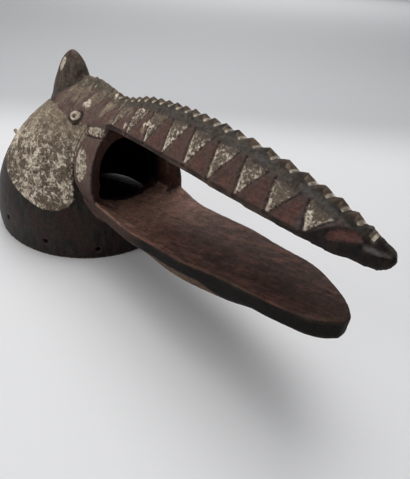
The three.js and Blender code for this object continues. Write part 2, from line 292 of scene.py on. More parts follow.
# the cut bands of triangles on the upper beak
bands = {
    "first": 34,  # ahead of the first triangle's point
    "last": 372,
    "pitch": 24,  # between two points at the brow
    "pitchGrowth": 1,  # and this much more at each
    "pitchMost": 29.5,
    "backLean": 6.5,  # how far the two upper corners stand behind and ahead of the point
    "frontLean": 16.5,
    "slant": 0.84,  # from a distance along the beak to one square to a triangle's edge
    "cutDepth": 0.9,
    "cutWidth": 0.9,
    "cutFlank": (0.02, 0.98),  # the cuts end here on the flank
    "cutStart": (40, 130),  # and grow between these on the brow
}


def toTriangles(ahead, share):  # distance to the light triangles, positive inside; and if the back edge is nearer
    best = np.full(ahead.shape, -1e9)
    byBack = np.zeros(ahead.shape)
    point, pitch = bands["first"], bands["pitch"]
    while point < bands["last"]:
        fromBack = ahead - (point - bands["backLean"] * share)
        fromFront = (point + bands["frontLean"] * share) - ahead
        inside = np.minimum(fromBack, fromFront) * bands["slant"]
        byBack = np.where(inside > best, fromBack < fromFront, byBack)
        best = np.maximum(best, inside)
        point += pitch
        pitch = min(pitch + bands["pitchGrowth"], bands["pitchMost"])
    return best, byBack


# the teeth of the crest, cut as the solid has them
teeth = {
    "start": 42.7,
    "end": 419,
    "pitch": 12.2,
    "swell": 6.1,  # how much longer the longest tooth is, where it is, and how far this spreads
    "swellAt": 318,
    "swellSpread": 41,
    "back": 0.64,  # the share of a tooth that is its back
    "skew": 0.25,
    "cut": 0.4,  # how much deeper the notches are cut, and how wide
    "cutWidth": 2.0,
    "cutFrom": 100,
    "tall": 8,  # how far down from the ridge a tooth reaches
}


def toTeeth(ahead):  # distance to the teeth's front faces, positive inside; and to their foot
    face = np.full(ahead.shape, -1e9)
    foot = np.full(ahead.shape, 1e9)
    notch = teeth["start"]
    while notch < teeth["end"]:
        fromSwell = (notch - teeth["swellAt"]) / teeth["swellSpread"]
        step = teeth["pitch"] + teeth["swell"] * math.exp(-fromSwell ** 2)
        face = np.maximum(face, np.minimum(ahead - notch - teeth["back"] * step, notch + step - ahead))
        foot = np.minimum(foot, np.abs(notch + step - ahead))
        notch += step
    return face, foot


# where the head and beak are painted and cut, seen from the side, as ahead and height, and a dab's radius
marks = {
    "chalk": [(8, 163), (33, 165), (51, 160.5), (66, 156.5), (86, 159.5), (99, 158.5), (105, 151), (98, 142),
              (93.5, 132), (91.5, 120), (93.5, 108), (99.5, 90), (102.5, 80), (99.5, 70.5), (92, 64.8), (77, 63),
              (57, 68), (28, 77), (2, 85.5), (-20, 95), (-36, 114), (-38, 136), (-26, 153)],
    "almond": [(101, 139), (111, 136), (120, 127), (120, 118), (117, 110), (108, 101), (101, 107), (96, 119),
               (97.5, 131)],
    "bar": [(103.5, 158.8), (125, 162.5), (131, 160), (128, 154.8), (112, 152.8), (104, 154)],
    "cheekCut": [(99.5, 158), (96, 149), (93, 140), (90.5, 130), (90.5, 119), (95, 104), (99, 96), (103.5, 90),
                 (109, 84.7), (118, 81.5)],
    "barCut": [(100, 150.5), (110, 151), (119, 152), (132, 154.7)],
    "brow": [(-2, 171), (8, 167.5), (31, 165), (47, 162), (58.5, 157.5), (69, 155.2), (80, 157), (100, 158),
             (104, 206), (-2, 206)],
    "noseRed": [(384.5, 170), (387, 173.6), (390.5, 175.6), (397, 176.8), (402, 176.6), (406, 174.2),
                (402.5, 172.2), (397, 170.6), (391, 168.8), (386.5, 167.6)],
    "noseGrey": [(364, 160), (362, 172), (366, 200), (425, 200), (425, 160)],
    "noseDark": [(350, 140), (350, 165.5), (371, 166), (376, 169), (381, 172.5), (386, 176), (394, 178), (402, 177),
                 (409, 175), (412, 173), (414, 195), (440, 195), (440, 140)],
    "whiteDabs": [(74, 173, 2.2), (77, 175.6, 2.2), (80.5, 173.4, 2.8), (109.4, 187.2, 2.8), (156.5, 174.3, 2.2),
                  (184, 181.5, 1.8), (188, 184.4, 1.8), (194.5, 182.4, 1.6), (197, 185, 1.4), (70, 189.4, 1.4)],
    "ochreDabs": [(35, 181.5, 3.6), (49, 180, 4), (51, 173.5, 2.8), (80, 180, 4.8), (101, 187.5, 3), (111, 178, 4.4),
                  (115, 183, 3), (112, 172.6, 2.6), (132, 171, 2.6), (136, 176.2, 2.2), (62, 186, 3.4),
                  (90, 187, 3.4), (186, 178, 3), (128, 183, 3), (150, 184, 3.4), (62, 192, 3), (45, 187, 3)],
    "mouth": [(0, 60), (50.5, 60), (51.5, 100), (49.4, 118.6), (46.2, 130.4), (42.8, 141), (39.6, 146.9),
              (36.1, 152.3), (31.6, 157.4), (26.5, 161.5), (0, 163)],  # seen from the front, as side and height
    "mouthBevel": 2.5,  # how far the mouth's edge is cut back
    "mouthLip": (2.5, 3),  # it goes on this far ahead of the mouth's front, and starts this far above the paddle
    "mouthBand": (-9, -1),  # and the cut grows between these distances from the front
    "mouthInset": 5.5,  # how much the wall thickens behind it
    "lining": (-0.8, -1, 14),  # that wall: least lean to the back, least depth, height above the paddle
    "chalkStep": 0.5,  # how far the chalk stands proud
    "cutDepth": 1.1,
    "cutWidth": 1.3,
    "cutFront": 134,  # no cut or seam of the cheek is farther ahead
    "cheekFrom": 20,  # nearer to the middle than this nothing is cheek
    "cheekCutFrom": 24,
    "none": 9,  # a distance that stands for far off, and with a minus for far outside
    "hollow": 99,  # and a depth that stands for the helmet's hollow, which the finish paints black as shade
}

# where a change of shape or of paint begins, and where it is full: places ahead or heights in mm, if no note
# says otherwise
zones = {
    "crestFlank": (0.75, 1.0),  # shares of the flank
    "crestAhead": (38, 55),
    "crestSide": (15, 11),  # distances from the middle
    "hornHeight": (160, 185),
    "hornFront": (40, 25),
    "hornTop": (186, 204),
    "noseAhead": (396, 410),
    "noseTip": (400, 418),
    "aboveMouth": (120, 150),
    "paddleTip": (385, 405),
    "underMouth": (120, 110),
    "swellAhead": (215, 250),
    "swellEnd": (350, 320),
    "swellDown": (12, 17),  # distances below the paddle's top
    "swellHeight": (140, 120),
    "liftAhead": (391, 405),
    "liftEnd": (423, 415),
    "liftHeight": (165, 156),
    "capAhead": (405.5, 407.5),
    "capEnd": (423, 416),
    "capHeight": (166, 173),
    "chalkEdge": (-0.6, 0.8),  # distances inside the outline of the chalk
    "mouthEdge": (0, 7),  # and of the mouth
    "liningFrom": (0, 6),  # depths in the mouth
    "liningTo": (45, 18),
    "liningUp": (16, 30),  # heights above the paddle
    "paddleCorner": (42, 48),  # distances from the middle
    "redAtBrow": (220, 140),
    "redMiddle": (222, 240),
    "redMiddleEnd": (340, 322),
    "whiteBack": (1.0, 0.55),  # shares of the flank
    "whiteLow": (0.5, 0.1),
    "whiteFront": (0.3, 0.6),
    "whiteAhead": (120, 220),
    "whiteFar": (230, 330),
    "shoulderBrow": (230, 170),
    "wornTip": (290, 350),
}


def zone(name, value):  # how far a value is into a zone, from 0 to 1
    return ramp(*zones[name], value)


# the mesh: the solid merged, remeshed fine, smoothed off its flat faces, then carved
carving = {
    "merge": 2e-5,  # metres within which the solid's loose corners are one
    "voxel": 0.0013,
    "triangles": 194000,
    "smoothing": 9,
    "crestKept": 0.93,  # how much of the smoothing the crest is spared, and the tips of horn and nose
    "tipsKept": 0.7,
    "swells": (0.035, 0.0010),  # size and height of the hand's unevenness
    "toolMarks": (0.009, 0.0004),
    "rim": (3, 8),  # the rim's foot stays as it is, and the work sets in between these heights
    "outerReach": 0.97,  # eggReach past this is the outer face
    "regain": 0.45,  # put back what the smoothing takes off, and more at horn, nose and paddle tip
    "hornRegain": 1.2,
    "noseRegain": 0.8,
    "tipRegain": 1.0,
    "paddleSwell": 2.2,  # how far the paddle's underside swells in its middle
    "noseLift": 2.6,  # how far the nose's lower edge is lifted, and its cap lowered
    "capDrop": 1.5,
    "footSink": 0.45,  # how much the fill under the horn's back also sinks
    "footMargin": 4,  # how far it reaches past the horn's half width
    "rimFade": 25,  # up to this height the rim's gap draws the helmet with it
}
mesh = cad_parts["mask"].data.copy()
mesh.name = "carving"
bm = bmesh.new()
bm.from_mesh(mesh)
bmesh.ops.remove_doubles(bm, verts=bm.verts, dist=carving["merge"])
bm.to_mesh(mesh)
bm.free()
carved = bpy.data.objects.new("carving", mesh)
scene.collection.objects.link(carved)
mesh = applied(carved, "REMESH", mode="VOXEL", voxel_size=carving["voxel"])
print("remeshed to", len(mesh.polygons), "faces")

# the ledge under the horn's back is filled, so that the horn grows out of the helmet
x, ahead, z, lean = readMesh(mesh)
hornAhead, hornBase, hornTall, hornLong, hornWide, hornLean = form["horn"]
low, high = form["hornFoot"]
up = (high - hornBase) / hornTall
hornSize = (1 - up ** form["hornRise"]) ** (2 / form["hornRound"])
hornBack = hornAhead + hornLean * up - hornLong * np.sqrt(np.maximum(hornSize - (x / hornWide) ** 2, 0))
top, bottom = np.minimum(hornBack, eggBack(x, high)), eggBack(x, low)
inNotch = (eggReach(x, ahead, z) > carving["outerReach"]) & (z > low) & (z < high)
inNotch &= (ahead < form["hornFootFront"]) & (np.abs(x) < hornWide + carving["footMargin"])
gap = np.where(inNotch, np.maximum(ahead - bottom - (top - bottom) * (z - low) / (high - low), 0), 0)
filledZ = z - carving["footSink"] * gap
ahead = np.where(gap > 0, bottom + (top - bottom) * (filledZ - low) / (high - low), ahead)
points = np.stack([x, form["rimMiddle"] - ahead, filledZ], 1) / 1000
mesh.vertices.foreach_set("co", points.astype(np.float32).ravel())
mesh.update()

# the smoothing and the hand's unevenness, which spare the crest, the tips and the rim
x, ahead, z, lean = readMesh(mesh)
onCrest = zone("crestFlank", flankShare(ahead, z)) * zone("crestAhead", ahead) * zone("crestSide", np.abs(x))
hornTip = zone("hornHeight", z) * zone("hornFront", ahead)
noseTip = zone("noseAhead", ahead) * zone("aboveMouth", z)
onTips = np.maximum(hornTip, noseTip)
softness = ramp(*carving["rim"], z) * (1 - carving["crestKept"] * onCrest) * (1 - carving["tipsKept"] * onTips)
soft = carved.vertex_groups.new(name="soft")
for level in range(1, 11):
    soft.add(np.nonzero(np.round(softness * 10) == level)[0].tolist(), level / 10, "REPLACE")
mesh = applied(carved, "SMOOTH", factor=0.5, iterations=carving["smoothing"], vertex_group="soft")
for size, height in (carving["swells"], carving["toolMarks"]):
    cloud = bpy.data.textures.new("hand", "CLOUDS")
    cloud.noise_scale = size
    cloud.noise_depth = 1
    mesh = applied(carved, "DISPLACE", texture=cloud, texture_coords="LOCAL", strength=height, mid_level=0.5,
                   vertex_group="soft")
print("smoothed and worked over")

# the cuts, and the step of the chalk, pressed into the surface
x, ahead, z, lean = readMesh(mesh)
side = np.abs(x)
flank = flankShare(ahead, z)
outside = (eggReach(x, ahead, z) > carving["outerReach"]) | (z > form["crownHeight"])
onBeak = outside & (ahead > form["beakStart"]) & (side < along(lipHalf, ahead) + form["beakMargin"])
triangle, byBack = toTriangles(ahead, flank)
inBand = onBeak & (flank < bands["cutFlank"][1]) & (flank > bands["cutFlank"][0])
cut = bands["cutDepth"] * np.exp(-(triangle / bands["cutWidth"]) ** 2) * inBand * ramp(*bands["cutStart"], ahead)
face, foot = toTeeth(ahead - teeth["skew"] * x)
onTop = onBeak & (z > along(ridge, ahead) - teeth["tall"]) & (ahead > teeth["cutFrom"])
cut = np.maximum(cut, teeth["cut"] * np.exp(-(foot / teeth["cutWidth"]) ** 2) * onTop)
sideways = outside & (side > marks["cheekCutFrom"]) & (ahead < marks["cutFront"])
for line in ("cheekCut", "barCut"):
    groove = marks["cutDepth"] * np.exp(-(toLine(ahead, z, marks[line]) / marks["cutWidth"]) ** 2)
    cut = np.maximum(cut, groove * sideways)
chalk = toPatch(ahead, z, marks["chalk"])
proud = marks["chalkStep"] * zone("chalkEdge", chalk) * (outside & (side > marks["cheekFrom"]))

# the tips get back what the smoothing took, and the paddle's underside swells
paddleTop = form["paddleHeight"] + form["paddleSlope"] * ahead
extra = carving["hornRegain"] * zone("hornTop", z) * zone("hornFront", ahead)
extra = extra + carving["noseRegain"] * zone("noseTip", ahead) * zone("aboveMouth", z)
extra = extra + carving["tipRegain"] * zone("paddleTip", ahead) * zone("underMouth", z)
extra += (carving["paddleSwell"] * zone("swellAhead", ahead) * zone("swellEnd", ahead)
          * zone("swellDown", paddleTop - z) * zone("swellHeight", z))
outward = proud - cut + carving["regain"] * ramp(*carving["rim"], z) + extra
points = np.stack([x, form["rimMiddle"] - ahead, z], 1) + lean * outward[:, None]
onNose = carving["noseLift"] * zone("liftAhead", ahead) * zone("liftEnd", ahead)
points[:, 2] += onNose * zone("liftHeight", z) * (z > form["noseUnder"])
points[:, 2] -= carving["capDrop"] * zone("capAhead", ahead) * zone("capEnd", ahead) * zone("capHeight", z)

# the mouth's edge cut back toward the throat, the wall behind it thickened, and the rim that stands off the
# table at one side
front = form["mouthFront"] + form["mouthSkew"] * x
depth = front - ahead  # how far inside the mouth
throatMiddle, throatHalf, throatTop = form["throat"]
lipAhead, lipUp = marks["mouthLip"]
bevelFrom, bevelTo = marks["mouthBand"]
atMouth = outside & (ahead < front + lipAhead) & (z > paddleTop + lipUp)
inMouth = zone("mouthEdge", toPatch(side, z, marks["mouth"])) * ramp(front + bevelFrom, front + bevelTo, ahead)
points[:, 1] += marks["mouthBevel"] * inMouth * atMouth
leastLean, leastDepth, liningUp = marks["lining"]
lining = (lean[:, 0] * x + lean[:, 2] * (z - throatMiddle) < 0) & (lean[:, 1] > leastLean) & (depth > leastDepth)
lining &= (side < throatHalf) & (z < throatTop) & (z > paddleTop + liningUp)
inset = marks["mouthInset"] * zone("liningFrom", depth) * zone("liningTo", depth) * lining
inset *= zone("liningUp", z - paddleTop)
fromMiddle = np.maximum(np.hypot(x, z - throatMiddle), 1)
points[:, 0] -= inset * x / fromMiddle
points[:, 2] -= inset * (z - throatMiddle) / fromMiddle
gapSide, gapAhead, gapHalf, gapHeight = form["rimGap"]
arch = np.clip(1 - ((x - gapSide) ** 2 + (ahead - gapAhead) ** 2) / gapHalf ** 2, 0, 1)
points[:, 2] += gapHeight * arch * np.clip(1 - z / carving["rimFade"], 0, 1)
mesh.vertices.foreach_set("co", (points / 1000).astype(np.float32).ravel())
mesh.update()
count = sum(len(face.vertices) - 2 for face in mesh.polygons)
mesh = applied(carved, "DECIMATE", ratio=min(1, carving["triangles"] / count), use_collapse_triangulate=True)
mesh.polygons.foreach_set("use_smooth", [True] * len(mesh.polygons))
print("carved,", len(mesh.polygons), "triangles")

# what the finish reads: distances in mm to each painted or worn part
painted = {
    "outerReach": 0.965,  # eggReach past this is painted as the outer face
    "muzzleReach": (1.012, 115),  # past this eggReach is the muzzle; and the mm in one unit of it
    "hornReach": 1.01,
    "hornFront": 34,
    "hornPaint": (153, 4),  # height at which the horn's own paint starts, and how far it takes to cover
    "hornMargin": 0.25,  # how much wider than the horn that paint may reach, as a share
    "hornFoot": (115, 162, 6),  # the foot behind it: from, to, and how far past the horn's half width
    "throatFrom": (60, 58),  # the throat's lining lies ahead of this and above this
    "throatLean": -0.75,  # and leans to the back at least this much
    "paddleSkin": (1.5, 2),  # how far past its top and its underside a point still belongs to the paddle
    "paddleCorner": 8,  # how much farther ahead it starts at its corners
    "paddleTop": (0.5, 8),  # its top leans up more than this; and mm in one unit
    "rootFade": 12,
    "mouthRing": (4, 7, 1),  # the mouth's edge: behind the front, half width, height above the paddle
    "mouthLean": -0.3,  # and it leans ahead at least this much
    "mouthLineUp": 9,  # its dark line starts this far above the paddle
    "paleFlank": (-0.3, 1.0),  # the flank's share that the pale triangles, the faint ones and the red hearts take
    "faintFlank": (-0.3, 0.95),
    "redFlank": (0.1, 0.85),
    "floor": (0.6, 100, 22),  # a floor leans up more than this, is lower than this, and gets the painted shade as if nearer by this
    "paddleRoot": 222,  # the muzzle's earth runs along the paddle's sides up to here
    "wornTip": 20,  # its worn underside gets this much narrower toward the tip
    "redLess": (5, 3),  # how much smaller the red hearts are toward the brow, and in the middle of the beak
    "whiteSpread": (3.0, 2.0),  # how far the white spreads from a triangle's back edge, and from its front edge
    "whiteShare": (0.9, 0.45, 0.75),  # how much there is along the back edge, the front edge, and low on the flank
    "whiteGrowth": (0.5, 0.5, 0.2),  # how strong it is at the brow, and what it gains farther ahead, twice
    "shoulderLess": 8,  # how much lower the grey shoulder's edge is than the crest's, toward the brow
    "triangles": (118, 130),  # where the pale ones of the beak begin, and the faint ones of the brow end
    "lipFrom": 128,
    "capSheenFrom": (404, 0.72, 12),  # painted sheen on the nose cap's top face: ahead of this, leaning up more than this; and mm in one unit
    "lipWidth": 5.8,
    "toothHalf": 4.6,  # half width of a tooth's face, its height, and half width of the white at its foot
    "toothTall": 7,
    "toothFootHalf": 2.4,
    "crestSteps": 22,  # mm in the whole flank, from lip to crest
}
x, ahead, z, lean = readMesh(mesh)
side = np.abs(x)
reach = eggReach(x, ahead, z)
flank = flankShare(ahead, z)
outside = (reach > painted["outerReach"]) | (z > form["crownHeight"])
front = form["mouthFront"] + form["mouthSkew"] * x
depth = front - ahead
inward = (lean[:, 0] * x + lean[:, 2] * (z - throatMiddle) < 0) & (lean[:, 1] > painted["throatLean"])
inThroat = (side < throatHalf) & (z > painted["throatFrom"][1]) & (z < throatTop - 1)
inThroat &= (ahead > painted["throatFrom"][0]) & (depth > 0) & inward
floorLean, floorTop, floorLess = painted["floor"]
onFloor = (lean[:, 2] > floorLean) & (z < floorTop)

# the paddle, without its root between the cheeks
liftFrom, liftTo, liftHeight = form["paddleLift"]
paddleTop = form["paddleHeight"] + form["paddleSlope"] * ahead + liftHeight * (1 - ramp(liftFrom, liftTo, ahead))
clearOfCheeks = (ahead > form["paddleBetween"][0]) | (side < form["paddleBetween"][1])
skinOver, skinUnder = painted["paddleSkin"]
paddleFrom = form["paddleStart"] + painted["paddleCorner"] * zone("paddleCorner", side)
onPaddle = outside & clearOfCheeks & (ahead > paddleFrom)
onPaddle &= (z < paddleTop + skinOver) & (z > paddleTop - along(paddleThick, ahead) - skinUnder)
topLean, topSteps = painted["paddleTop"]

# the mouth's edge
ringBack, ringHalf, ringUp = painted["mouthRing"]
atMouth = outside & (abs(ahead - front + ringBack) < ringHalf) & (z > paddleTop + ringUp)
atMouth &= lean[:, 1] < painted["mouthLean"]
edge = toPatch(side, z, marks["mouth"])

# the upper beak
onBeak = outside & (ahead > form["beakStart"]) & (side < along(lipHalf, ahead) + form["beakMargin"])
onBeak &= (z > form["beakUnder"]) & ~inThroat
triangle, byBack = toTriangles(ahead, flank)
face, foot = toTeeth(ahead - teeth["skew"] * x)
fromRidge = z - along(ridge, ahead)
lessAtBrow, lessInMiddle = painted["redLess"]
redCentre = -triangle - lessAtBrow * zone("redAtBrow", ahead)
redCentre = redCentre - lessInMiddle * zone("redMiddle", ahead) * zone("redMiddleEnd", ahead)
capAhead, capLean, capSteps = painted["capSheenFrom"]
palesFrom, faintTo = painted["triangles"]
within = {}
for name in ("paleFlank", "faintFlank", "redFlank"):
    least, most = painted[name]
    within[name] = onBeak & (flank < most) & (flank > least)

# white flecks gather on each triangle's back edge, low on the flank and up its front edge, more so ahead
backSpread, frontSpread = painted["whiteSpread"]
backShare, frontShare, lowShare = painted["whiteShare"]
atBrow, gainAhead, gainFar = painted["whiteGrowth"]
backEdge = backShare * byBack * np.exp(-(triangle / backSpread) ** 2) * zone("whiteBack", flank)
frontEdge = frontShare * (1 - byBack) * np.exp(-(triangle / frontSpread) ** 2) * zone("whiteFront", flank)
gather = backEdge + lowShare * zone("whiteLow", flank) + frontEdge
white = gather * (atBrow + gainAhead * zone("whiteAhead", ahead) + gainFar * zone("whiteFar", ahead))

# the horn and its foot
up = np.clip((z - hornBase) / hornTall, 0, 1)
around = np.hypot(x / hornWide, (ahead - hornAhead - hornLean * up) / hornLong)
hornSize = (1 - up ** form["hornRise"]) ** (1 / form["hornRound"])
footFrom, footTo, footMargin = painted["hornFoot"]
onFoot = outside & (ahead < form["hornFootFront"]) & (z > footFrom) & (z < footTo) & (side < hornWide + footMargin)
onHorn = outside & (reach > painted["hornReach"]) & (z > hornBase) & (ahead < painted["hornFront"])
onHorn &= around < hornSize + painted["hornMargin"]
# the painted highlight along the horn's front edge
glintHalf, glintAcross = form["hornHighlightSize"]
hornGlint = glintHalf - toLine(ahead, z, form["hornHighlight"]) - np.maximum(0, x + glintAcross)
paintFrom, paintOver = painted["hornPaint"]
muzzleFrom, muzzleSteps = painted["muzzleReach"]

# the cheeks, the eyes, the dabs on the brow and the tie holes
sideways = outside & (side > marks["cheekFrom"])
almond = np.maximum(toPatch(ahead, z, marks["almond"]), toPatch(ahead, z, marks["bar"]))
seam = np.minimum(toLine(ahead, z, marks["cheekCut"]), toLine(ahead, z, marks["barCut"]))
eyeSide, eyeAhead, eyeHeight = form["eye"]
none = marks["none"]
dabs = {}
for name in ("whiteDabs", "ochreDabs"):
    dabs[name] = np.full(x.shape, -float(none))
    for dabAhead, dabHeight, radius in marks[name]:
        dabs[name] = np.maximum(dabs[name], radius - np.hypot(ahead - dabAhead, z - dabHeight))
holes, firstAngle, holeHeight, holeDrop = form["holes"]
hole = np.full(x.shape, float(none))
for i in range(holes):
    angle = math.radians(firstAngle + 360 / holes * i)
    holeSide, holeAhead = -form["egg"][0] * math.cos(angle), form["egg"][1] * math.sin(angle)
    holeUp = holeHeight - holeDrop * max(math.sin(angle), 0)
    hole = np.minimum(hole, np.sqrt((x - holeSide) ** 2 + (ahead - holeAhead) ** 2 + (z - holeUp) ** 2))

values = {
    "ahead": ahead,
    "height": z,
    "across": x,
    "bulge": bulge(mesh, 1) * 10,
    "white": white,
    "chalk": np.where(sideways, toPatch(ahead, z, marks["chalk"]), -none),
    "almond": np.where(sideways, almond, -none),
    "seam": np.where(sideways & (ahead < marks["cutFront"]), seam, none),
    "eye": np.sqrt((side - eyeSide) ** 2 + (ahead - eyeAhead) ** 2 + (z - eyeHeight) ** 2),
    "muzzle": np.where(outside & ~onHorn & ~onFoot,
                       np.maximum((reach - muzzleFrom) * muzzleSteps, toPatch(ahead, z, marks["brow"])), -none),
    "horn": np.where(onHorn, (z - paintFrom) / paintOver, -none),
    "hornGlint": np.where(onHorn, hornGlint, -none),
    "hole": hole,
    "triangle": np.where(within["paleFlank"] & (ahead > palesFrom), triangle, -none),
    "browTriangle": np.where(within["faintFlank"] & (ahead < faintTo), triangle, -none),
    "redHeart": np.where(within["redFlank"], redCentre, -none),
    "crest": np.where(onBeak, (flank - 1) * painted["crestSteps"], -none),
    "shoulder": np.where(onBeak, (flank - 1) * painted["crestSteps"]
                         - painted["shoulderLess"] * zone("shoulderBrow", ahead), -2 * none),
    "toothFace": np.where(onBeak, np.minimum(np.minimum(face, painted["toothHalf"] - side),
                                             fromRidge + painted["toothTall"]), -none),
    "toothFoot": np.where(onBeak & (ahead > form["paddleStart"]) & (fromRidge > -teeth["tall"]),
                          np.maximum(np.maximum(foot, -3 * face), side - painted["toothFootHalf"]), none),
    "lip": np.where(onBeak & (ahead > painted["lipFrom"]), along(lipHeight, ahead) + painted["lipWidth"] - z, -none),
    "nose": np.where(onBeak, toPatch(ahead, z, marks["noseDark"]), -none),
    "noseGrey": np.where(onBeak, toPatch(ahead, z, marks["noseGrey"]), -none),
    "noseRed": np.where(onBeak, toPatch(ahead, z, marks["noseRed"]), -none),
    "noseCapSheen": np.where(onBeak & (ahead > capAhead), (lean[:, 2] - capLean) * capSteps, -none),  # painted sheen: its top face, by how much it leans up
    "whiteDabs": np.where(onBeak, dabs["whiteDabs"], -none),
    "ochreDabs": np.where(onBeak, dabs["ochreDabs"], -none),
    "mouth": np.where(atMouth, edge, -none),
    "mouthEdge": np.where(atMouth & (z > paddleTop + painted["mouthLineUp"]), np.abs(edge), none),
    # how deep into the mouth a point lies, for the painted shade there
    "inside": np.where(outside & ~inThroat, 0, np.where(inThroat, depth - floorLess * onFloor, marks["hollow"])),
    "paddle": np.where(onPaddle, none, -none),
    "paddleTop": np.where(onPaddle, (lean[:, 2] - topLean) * topSteps, -none),
    "paddleUnder": np.where(onPaddle, paddleTop - form["paddleSide"] - z
                            - zone("wornTip", ahead) * painted["wornTip"], -none),
    "root": np.where(onPaddle, (painted["paddleRoot"] - ahead) / painted["rootFade"], -none),
}
for name, value in values.items():
    layer = mesh.attributes.new(name, "FLOAT", "POINT")
    layer.data.foreach_set("value", value.astype(np.float32))
print("painted areas measured")

# the finish: soft carved wood, dull and dark with soot and earth, with chalk rubbed on in places and worn through
tones = {
    "soot": "#191512",
    "sootWarm": "#33221c",
    "sootGrey": "#33322d",
    "charred": "#13100e",
    "black": "#120f0e",
    "mauveEarth": "#705d56",
    "redEarth": "#56443e",
    "redHeart": "#624039",
    "noseRed": "#62413b",
    "throat": "#3f2721",
    "ochre": "#574c40",
    "ochreLight": "#7f7261",
    "oliveGround": "#6e6256",
    "oliveCrest": "#5e574b",
    "greyCrest": "#53504d",
    "greyMauve": "#473e3c",
    "chalk": "#cabca9",
    "chalkGround": "#62564a",
    "horn": "#655a50",
    "lip": "#211b19",
    "wornWood": "#76604f",
    "brownWood": "#7b584d",
    "brownWoodDeep": "#382923",
    "redWood": "#805448",
    # a paler wood by the paddle's root, made lighter still as painted light
    "rootWoodAndLight": "#937265",
    "oiled": "#342a26",
    "mauveOil": "#68574f",
}
wood = bpy.data.materials.new("carved wood with earth and chalk")
wood.use_nodes = True
tree = wood.node_tree
tree.nodes.clear()
tone = {name: linear(value) for name, value in tones.items()}
read = {name: addNode(tree, "ShaderNodeAttribute", out=2, attribute_name=name) for name in values}
place = addNode(tree, "ShaderNodeTexCoord", out=3)
mm = addNode(tree, "ShaderNodeVectorMath", {0: place, 3: 1000.0}, operation="SCALE")

# how a pattern is stretched: its turn in radians, and its size in mm
stretch = {}
for name, turned, size in (
        ("lengthwise", (0, 0, 0.16), (2.0, 17, 2.0)),  # fibres 2 mm apart, drawn coarser than the real 0.2 mm
        ("oneWay", (0.7, 0, 0), (4.5, 10.5, 4.5)),  # dabs of a chalky finger, about 4 by 10 mm,
        ("otherWay", (-0.75, 0, 0), (4.5, 10.5, 4.5)),  # that cross each other
        ("brushed", (0, 0, 0.14), (4.6, 34, 4.6))):  # long strokes of the adze and of dark oil along the paddle
    stretch[name] = addNode(tree, "ShaderNodeMapping", {"Vector": mm, "Rotation": turned, "Scale": size},
                            vector_type="TEXTURE")
# runs of soot down the helmet, 3 mm wide and 20 mm long
stretch["upward"] = addNode(tree, "ShaderNodeMapping", {"Vector": mm, "Scale": (0.3, 0.3, 0.05)})
noise = {}
for name, vector, size, detail, roughness, distortion in (
        ("broad", mm, 28, 3, 0.5, 0.3),  # clouds of soot and earth about 30 mm across
        ("cloud", mm, 9, 4, 0.6, 0.5),  # blotches of a fingertip's size
        ("dab", stretch["oneWay"], 1, 2, 0.6, 0.8),
        ("dabAcross", stretch["otherWay"], 1, 2, 0.6, 0.8),
        ("fleck", mm, 2.6, 4, 0.7, 0.3),  # crumbs of dry paint
        ("grit", mm, 1.2, 2, 0.5, 0),  # grains of the earth, drawn coarser than the real 0.3 mm
        ("grain", stretch["lengthwise"], 1, 2.5, 0.55, 0.5),
        ("brush", stretch["brushed"], 1, 3, 0.6, 0.6),
        ("streak", stretch["upward"], 1, 3, 0.5, 0)):
    noise[name] = addNode(tree, "ShaderNodeTexNoise", {
        "Vector": vector, "Scale": 1 / size, "Detail": detail, "Roughness": roughness, "Distortion": distortion})

# how strongly each pattern and worn edge counts
wear = {
    "dabClouds": 0.45,  # in the chalk's dabs, the broad clouds and the flecks
    "dabFlecks": 0.2,
    "chalkThin": (96, 70, 0.01, -0.025),  # the chalk is thinner low on the cheek: from, to, more, less
    "whiteGather": 0.21,  # in the white flecks, the triangles' edges and the broad clouds
    "whiteClouds": 0.5,
    "cutLine": (1.8, 0.9, 0.4),  # dark round the triangles' cuts: from, to, how dark
    "cutRagged": 1.6,
    "bareEdge": (0.5, 1.6, 0.5),  # how far an edge stands out in tenths of a mm: from, to, how bare
    "bareOnPaddle": 0.35,
    "hollowDark": (-0.3, -1.4, 0.6),
    "gritBump": 0.15,
    "grainBump": 0.25,
    "crustBump": 0.35,
    "bump": 0.7,
    "specular": 0.13,
}
dabs = addNode(tree, "ShaderNodeMath", {0: noise["dab"], 1: noise["dabAcross"]}, operation="MAXIMUM")
for name, much in (("broad", wear["dabClouds"]), ("fleck", wear["dabFlecks"])):
    dabs = addNode(tree, "ShaderNodeMath", {0: noise[name], 1: much, 2: dabs}, operation="MULTIPLY_ADD")
thinned = addNode(tree, "ShaderNodeMapRange", {0: read["height"], **dict(enumerate(wear["chalkThin"], 1))})
dabs = addNode(tree, "ShaderNodeMath", {0: dabs, 1: thinned}, operation="ADD")
flecks = noise["fleck"]
for source, much in ((read["white"], wear["whiteGather"]), (noise["broad"], wear["whiteClouds"])):
    flecks = addNode(tree, "ShaderNodeMath", {0: source, 1: much, 2: flecks}, operation="MULTIPLY_ADD")

